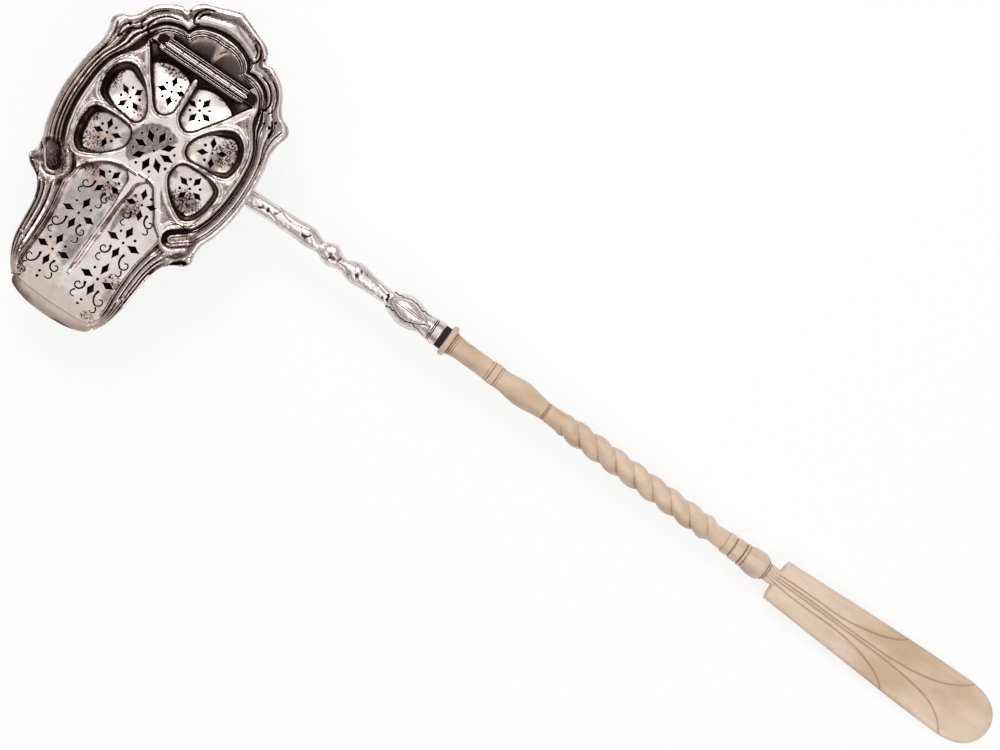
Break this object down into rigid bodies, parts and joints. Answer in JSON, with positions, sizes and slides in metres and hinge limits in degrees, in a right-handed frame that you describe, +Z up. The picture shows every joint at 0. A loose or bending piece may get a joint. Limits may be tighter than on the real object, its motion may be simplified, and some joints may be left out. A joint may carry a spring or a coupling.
{
  "type": "perforated sauce ladle",
  "caption": "Sauce ladle with a raised bowl, scrolled cast border, hinged pierced strainer over bowl and pouring lip, twig stem and twisted bone handle with a flat paddle end.",
  "frame": {"origin": "on the small flat under the bowl, below the rosette of the strainer", "axes": "+X along the handle away from the bowl, +Y to the rear of the bowl (the hinge side), -Y to the pouring lip, +Z up"},
  "size_m": [0.3882, 0.1229, 0.03],
  "materials": {
    "silver_raised": "hand-raised silver, worn bright with brown tarnish",
    "silver_cast": "cast silver with black patina in the hollows",
    "silver_pierced": "chased and pierced silver sheet, worn bright",
    "packing": "dark ribbed packing between ferrule and bone",
    "bone": "turned bone, semi-gloss, yellowed and mottled"
  },
  "bodies": {
    "ladle": {"bowl_shell": "silver_raised", "rim_border": "silver_cast", "border_beads": "silver_cast", "hinge_bridge": "silver_cast", "hinge_pin": "silver_cast", "stem_foot": "silver_cast", "silver_stem": "silver_cast", "leaf_calyx": "silver_cast", "ferrule": "silver_cast", "packing_ring": "packing", "handle_tang": "silver_cast", "bone_collar": "bone", "upper_shank": "bone", "upper_dowel": "bone", "twist_shaft": "bone", "lower_dowel": "bone", "end_baluster": "bone", "paddle_dowel": "bone", "paddle": "bone"},
    "strainer": {"strainer_plate": "silver_pierced", "strainer_leaf": "silver_pierced"}
  },
  "joints": [
    {"name": "strainer_hinge", "type": "hinge", "parent": "ladle", "child": "strainer", "pos_m": [0, 0.0318, 0.0259], "axis": [-1, 0, 0], "range_deg": [0, 150]}
  ]
}
